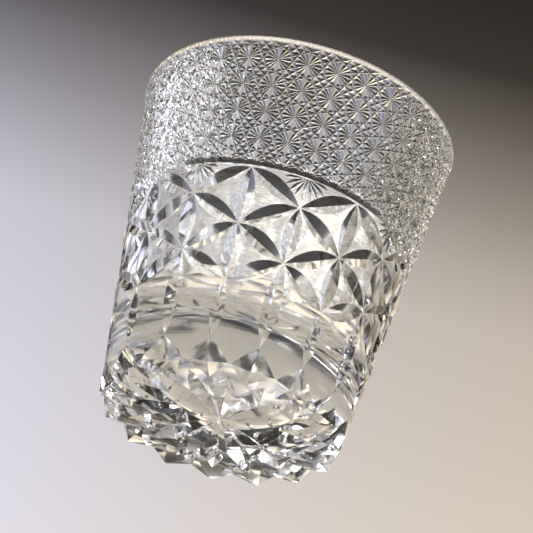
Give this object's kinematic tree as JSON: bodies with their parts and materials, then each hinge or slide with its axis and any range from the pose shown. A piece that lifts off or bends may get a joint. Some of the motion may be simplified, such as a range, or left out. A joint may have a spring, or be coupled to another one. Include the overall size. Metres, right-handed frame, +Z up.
{
  "type": "whiskey tumbler",
  "caption": "Hand-cut crystal whiskey tumbler with a heavy base, a leaning round wall, a flower-cut band, a ring groove and a fine star-cut band below the rim.",
  "frame": {"origin": "centre of the base, on the plane that the glass stands on", "axes": "+Z up along the glass's own axis, -Y through the first column of the cutting"},
  "size_m": [0.086, 0.086, 0.095],
  "materials": {
    "crystal": "polished clear crystal with bright cut faces"
  },
  "bodies": {
    "root": {"tumbler": "crystal"}
  },
  "joints": []
}
